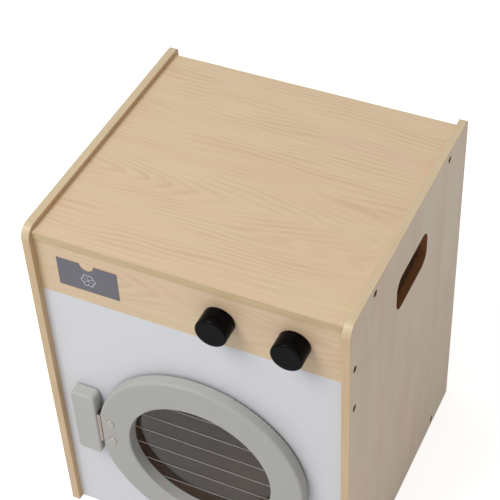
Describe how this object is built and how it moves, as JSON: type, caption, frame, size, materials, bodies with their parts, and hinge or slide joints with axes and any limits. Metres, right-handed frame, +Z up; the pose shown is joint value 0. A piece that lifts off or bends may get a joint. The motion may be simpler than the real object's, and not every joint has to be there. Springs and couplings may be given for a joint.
{
  "type": "toy washing machine",
  "caption": "Wooden play washing machine: board cabinet with hand slots, a round hinged door with a clear window, a drawer label and turning knobs.",
  "frame": {"origin": "on the floor under the middle of the object's bounding box", "axes": "+Z up, -Y out of the front with the door and knobs, +X to the right of someone facing it"},
  "size_m": [0.36, 0.3502, 0.446],
  "materials": {
    "veneered_board": "satin wood-grain melamine",
    "edging": "satin wood-grain edging",
    "top_edging": "satin wood-grain edging, darker",
    "back_board": "plain hardboard",
    "white_board": "white satin laminate",
    "label_grey": "matt grey",
    "grey_paint": "satin grey paint on board",
    "nickel": "nickel plated",
    "zinc": "zinc plated",
    "dowel_beech": "raw beech",
    "magnet": "nickel plated magnet",
    "clear_pane": "clear acrylic",
    "line_white": "white print",
    "black_knob": "gloss black",
    "felt": "black felt",
    "pad_felt": "white felt",
    "brass": "turned brass"
  },
  "bodies": {
    "cabinet": {"side_panel_left": "veneered_board", "side_panel_right": "veneered_board", "side_edge_band_left": "edging", "side_edge_band_right": "edging", "top_board": "veneered_board", "top_edge_band": "top_edging", "bottom_board": "veneered_board", "back_panel": "back_board", "front_panel": "white_board", "control_panel": "veneered_board", "drawer_label": "label_grey", "hinge_block": "grey_paint", "hinge_block_screws": "zinc", "hinge_fixed_leaf": "nickel", "hinge_fixed_screws": "nickel", "hinge_pin": "nickel", "carcass_screws_left": "zinc", "carcass_screws_right": "zinc", "carcass_dowels_left": "dowel_beech", "carcass_dowels_right": "dowel_beech", "panel_joint_dowels": "dowel_beech", "back_panel_screws": "zinc", "catch_magnet": "magnet"},
    "door": {"door_ring": "grey_paint", "window_pane": "clear_pane", "window_lines": "line_white", "pane_screws": "zinc", "hinge_door_leaf": "nickel", "hinge_door_screws": "nickel", "hinge_cross_dowels": "nickel", "strike_plate": "zinc", "strike_screw": "zinc", "door_pads": "pad_felt"},
    "knob_left_body": {"knob_left": "black_knob", "knob_felt_left": "felt", "knob_insert_left": "brass", "knob_washer_left": "zinc", "knob_screw_left": "zinc"},
    "knob_right_body": {"knob_right": "black_knob", "knob_felt_right": "felt", "knob_insert_right": "brass", "knob_washer_right": "zinc", "knob_screw_right": "zinc"}
  },
  "joints": [
    {"name": "door_hinge", "type": "hinge", "parent": "cabinet", "child": "door", "pos_m": [-0.1165, -0.16705, 0.1708], "axis": [0, 0, -1], "range_deg": [0, 120]},
    {"name": "knob_left_turn", "type": "hinge", "parent": "cabinet", "child": "knob_left_body", "pos_m": [0.038, -0.15345, 0.39475], "axis": [0, 1, 0], "continuous": true},
    {"name": "knob_right_turn", "type": "hinge", "parent": "cabinet", "child": "knob_right_body", "pos_m": [0.119, -0.15345, 0.39475], "axis": [0, 1, 0], "continuous": true}
  ]
}
